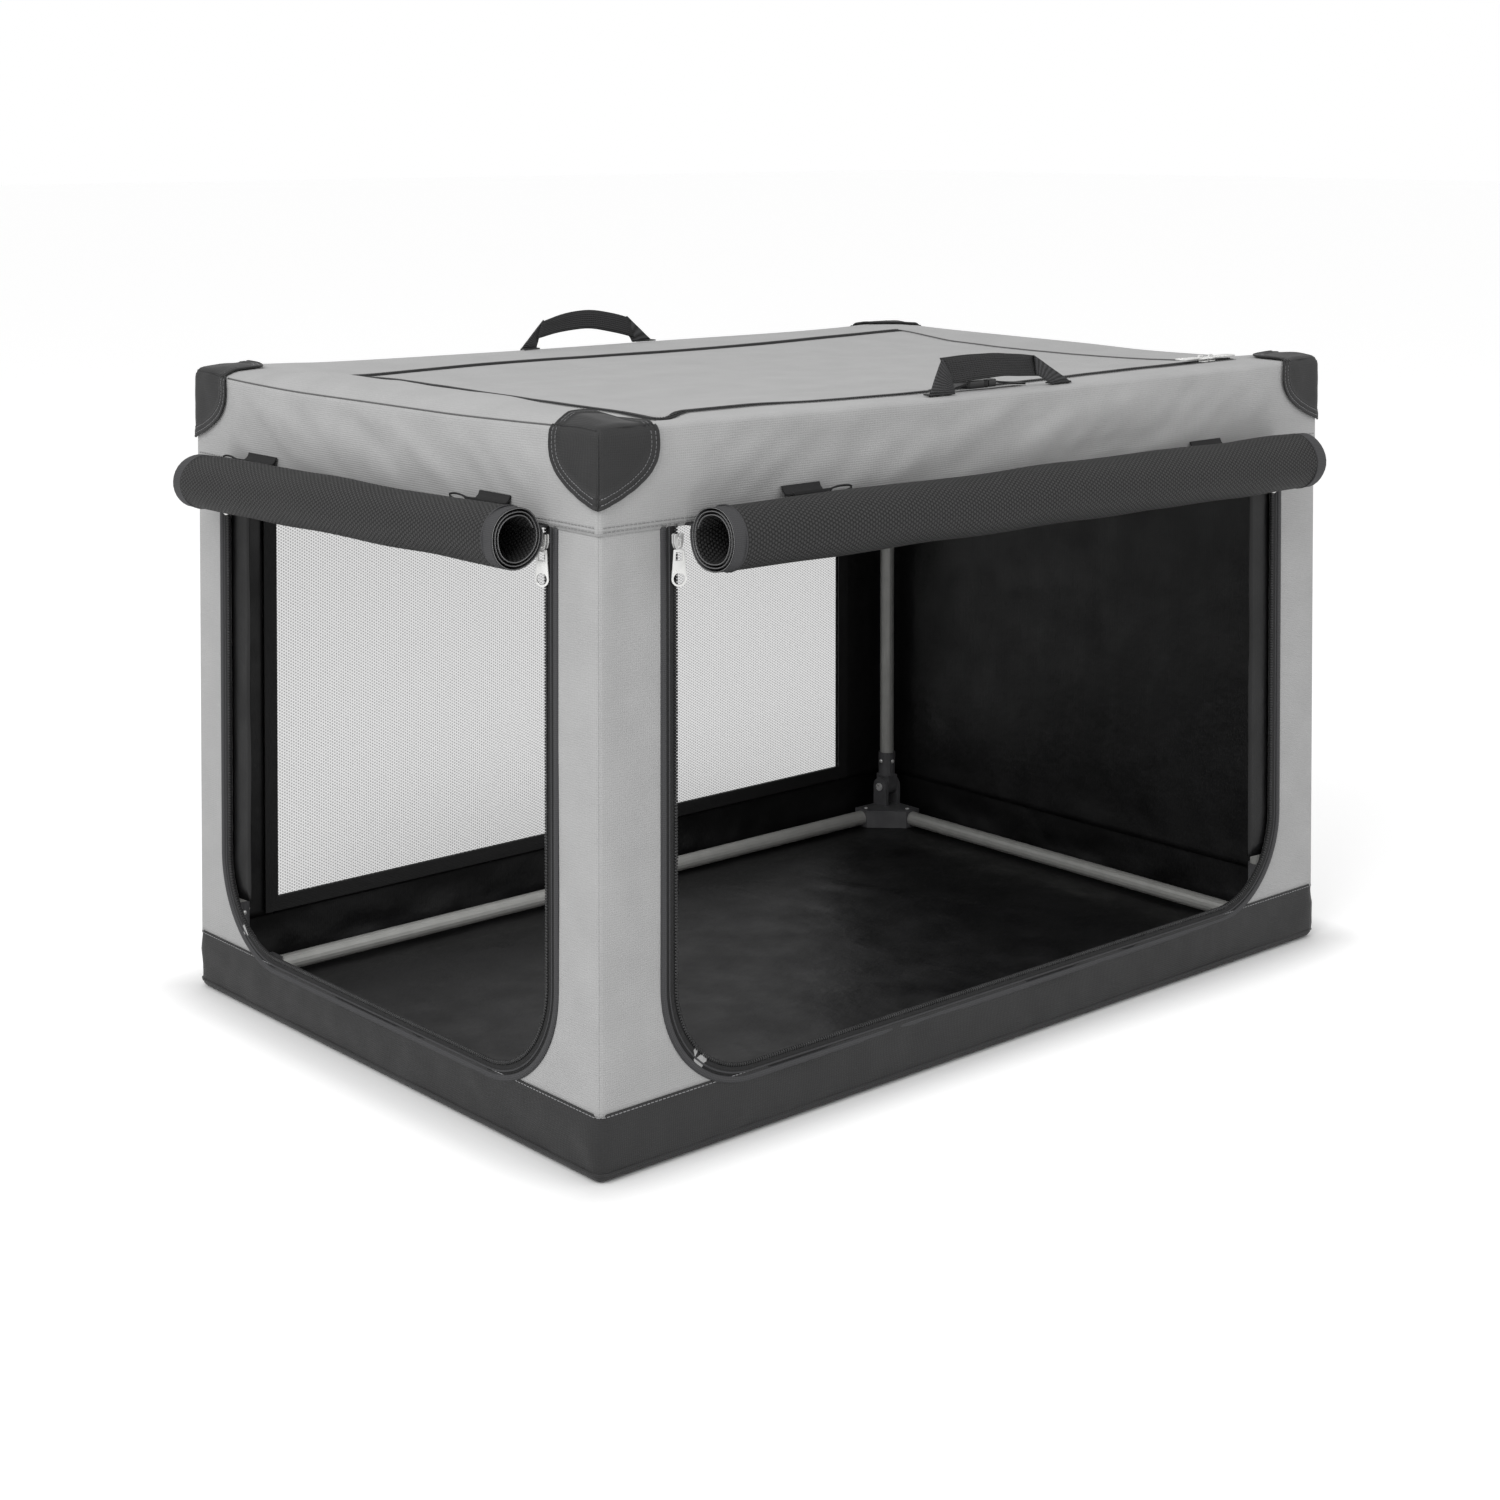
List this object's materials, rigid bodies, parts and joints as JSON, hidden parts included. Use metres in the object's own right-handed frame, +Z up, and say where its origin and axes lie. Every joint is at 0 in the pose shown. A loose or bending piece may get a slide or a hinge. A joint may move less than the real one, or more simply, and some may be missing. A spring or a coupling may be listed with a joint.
{
  "type": "folding canvas dog crate",
  "caption": "Soft-sided folding dog crate: grey canvas cover over a steel tube frame, with rolled-up mesh doors, a zipped roof flap and carry handles.",
  "frame": {"origin": "centre of the base tray's underside, on the surface that the crate stands on", "axes": "+X along the long side, with the short side's door at -X; +Y to the back, with the long side's door at -Y; +Z up"},
  "size_m": [0.9743, 0.6784, 0.6265],
  "materials": {
    "grey_canvas": "woven polyester canvas, matt grey",
    "dark_canvas": "woven polyester canvas, matt charcoal",
    "black_mesh": "knitted polyester mesh, black",
    "webbing": "ribbed polypropylene webbing, black",
    "coated_tube": "satin grey coating on steel tube",
    "dark_plastic": "moulded dark grey plastic",
    "bright_steel": "bright plated metal"
  },
  "bodies": {
    "root": {"base_tray": "dark_canvas", "front_wall": "grey_canvas", "left_wall": "grey_canvas", "rear_wall": "grey_canvas", "right_wall": "grey_canvas", "rear_window_mesh": "black_mesh", "roof_border": "grey_canvas", "corner_guard_front_left": "dark_canvas", "corner_guard_front_right": "dark_canvas", "corner_guard_rear_left": "dark_canvas", "corner_guard_rear_right": "dark_canvas", "base_tube_front": "coated_tube", "base_tube_rear": "coated_tube", "base_tube_left": "coated_tube", "base_tube_right": "coated_tube", "base_corner_front_left": "dark_plastic", "base_corner_front_right": "dark_plastic", "base_corner_rear_left": "dark_plastic", "base_corner_rear_right": "dark_plastic", "pivot_pin_front_left": "bright_steel", "pivot_pin_front_right": "bright_steel", "pivot_pin_rear_left": "bright_steel", "pivot_pin_rear_right": "bright_steel", "front_door_roll": "black_mesh", "left_door_roll": "black_mesh", "buckle_socket": "dark_plastic"},
    "front_frame": {"front_rail": "coated_tube", "post_foot_front_left": "dark_plastic", "post_front_left": "coated_tube", "top_corner_front_left": "dark_plastic", "post_foot_front_right": "dark_plastic", "post_front_right": "coated_tube", "top_corner_front_right": "dark_plastic"},
    "rear_frame": {"rear_rail": "coated_tube", "post_foot_rear_left": "dark_plastic", "post_rear_left": "coated_tube", "top_corner_rear_left": "dark_plastic", "post_foot_rear_right": "dark_plastic", "post_rear_right": "coated_tube", "top_corner_rear_right": "dark_plastic"},
    "stay_front_left": {"stay_front_left": "coated_tube"},
    "stay_front_right": {"stay_front_right": "coated_tube"},
    "stay_rear_left": {"stay_rear_left": "coated_tube"},
    "stay_rear_right": {"stay_rear_right": "coated_tube"},
    "roof_flap": {"roof_flap": "grey_canvas"},
    "front_handle": {"front_handle": "webbing"},
    "rear_handle": {"rear_handle": "webbing"},
    "buckle_plug": {"buckle_plug": "dark_plastic"},
    "front_left_slider": {"front_left_slider": "bright_steel"},
    "front_left_pull": {"front_left_pull": "bright_steel"},
    "front_right_slider": {"front_right_slider": "bright_steel"},
    "front_right_pull": {"front_right_pull": "bright_steel"},
    "left_near_slider": {"left_near_slider": "bright_steel"},
    "left_near_pull": {"left_near_pull": "bright_steel"},
    "left_far_slider": {"left_far_slider": "bright_steel"},
    "left_far_pull": {"left_far_pull": "bright_steel"},
    "roof_left_slider": {"roof_left_slider": "bright_steel"},
    "roof_left_pull": {"roof_left_pull": "bright_steel"},
    "roof_right_slider": {"roof_right_slider": "bright_steel"},
    "roof_right_pull": {"roof_right_pull": "bright_steel"}
  },
  "joints": [
    {"name": "frame_fold", "type": "hinge", "parent": "root", "child": "front_frame", "pos_m": [0, -0.279, 0.039], "axis": [1, 0, 0], "range_deg": [-90, 0]},
    {"name": "rear_frame_fold", "type": "hinge", "parent": "root", "child": "rear_frame", "pos_m": [0, 0.279, 0.043], "axis": [-1, 0, 0], "range_deg": [-85, 0]},
    {"name": "stay_front_left_fold", "type": "hinge", "parent": "front_frame", "child": "stay_front_left", "pos_m": [-0.417, -0.279, 0.5586], "axis": [1, 0, 0], "range_deg": [-90, 0]},
    {"name": "stay_front_right_fold", "type": "hinge", "parent": "front_frame", "child": "stay_front_right", "pos_m": [0.417, -0.279, 0.5586], "axis": [1, 0, 0], "range_deg": [-90, 0]},
    {"name": "stay_rear_left_fold", "type": "hinge", "parent": "rear_frame", "child": "stay_rear_left", "pos_m": [-0.42, 0.279, 0.5586], "axis": [-1, 0, 0], "range_deg": [-90, 0]},
    {"name": "stay_rear_right_fold", "type": "hinge", "parent": "rear_frame", "child": "stay_rear_right", "pos_m": [0.42, 0.279, 0.5586], "axis": [-1, 0, 0], "range_deg": [-90, 0]},
    {"name": "roof_flap_open", "type": "hinge", "parent": "root", "child": "roof_flap", "pos_m": [0.3825, 0, 0.59], "axis": [0, 1, 0], "range_deg": [0, 120]},
    {"name": "front_handle_tilt", "type": "hinge", "parent": "root", "child": "front_handle", "pos_m": [0, -0.2995, 0.5918], "axis": [1, 0, 0], "range_deg": [0, 80]},
    {"name": "rear_handle_tilt", "type": "hinge", "parent": "root", "child": "rear_handle", "pos_m": [0, 0.2995, 0.5918], "axis": [-1, 0, 0], "range_deg": [0, 80]},
    {"name": "buckle_release", "type": "slide", "parent": "root", "child": "buckle_plug", "axis": [1, 0, 0], "range_m": [0, 0.022]},
    {"name": "front_left_zip", "type": "slide", "parent": "root", "child": "front_left_slider", "axis": [0, 0, -1], "range_m": [0, 0.33]},
    {"name": "front_left_pull_swing", "type": "hinge", "parent": "front_left_slider", "child": "front_left_pull", "pos_m": [-0.3805, -0.31, 0.48605], "axis": [-1, 0, 0], "range_deg": [0, 90]},
    {"name": "front_right_zip", "type": "slide", "parent": "root", "child": "front_right_slider", "axis": [0, 0, -1], "range_m": [0, 0.33]},
    {"name": "front_right_pull_swing", "type": "hinge", "parent": "front_right_slider", "child": "front_right_pull", "pos_m": [0.3845, -0.31, 0.48605], "axis": [-1, 0, 0], "range_deg": [0, 35]},
    {"name": "left_near_zip", "type": "slide", "parent": "root", "child": "left_near_slider", "axis": [0, 0, -1], "range_m": [0, 0.33]},
    {"name": "left_near_pull_swing", "type": "hinge", "parent": "left_near_slider", "child": "left_near_pull", "pos_m": [-0.46, -0.2415, 0.48605], "axis": [0, 1, 0], "range_deg": [0, 35]},
    {"name": "left_far_zip", "type": "slide", "parent": "root", "child": "left_far_slider", "axis": [0, 0, -1], "range_m": [0, 0.33]},
    {"name": "left_far_pull_swing", "type": "hinge", "parent": "left_far_slider", "child": "left_far_pull", "pos_m": [-0.46, 0.2485, 0.48605], "axis": [0, 1, 0], "range_deg": [0, 35]},
    {"name": "roof_left_zip", "type": "slide", "parent": "root", "child": "roof_left_slider", "axis": [-1, 0, 0], "range_m": [0, 0.6]},
    {"name": "roof_left_pull_swing", "type": "hinge", "parent": "roof_left_slider", "child": "roof_left_pull", "pos_m": [0.33155, -0.2565, 0.5925], "axis": [0, 1, 0], "range_deg": [0, 90]},
    {"name": "roof_right_zip", "type": "slide", "parent": "root", "child": "roof_right_slider", "axis": [1, 0, 0], "range_m": [0, 0.018]},
    {"name": "roof_right_pull_swing", "type": "hinge", "parent": "roof_right_slider", "child": "roof_right_pull", "pos_m": [0.35945, -0.2565, 0.5925], "axis": [0, -1, 0], "range_deg": [0, 90]}
  ],
  "couplings": [
    {"joint": "rear_frame_fold", "follows": "frame_fold", "ratio": 0.94},
    {"joint": "stay_front_left_fold", "follows": "frame_fold", "ratio": 1},
    {"joint": "stay_front_right_fold", "follows": "frame_fold", "ratio": 1},
    {"joint": "stay_rear_left_fold", "follows": "frame_fold", "ratio": 1},
    {"joint": "stay_rear_right_fold", "follows": "frame_fold", "ratio": 1}
  ]
}
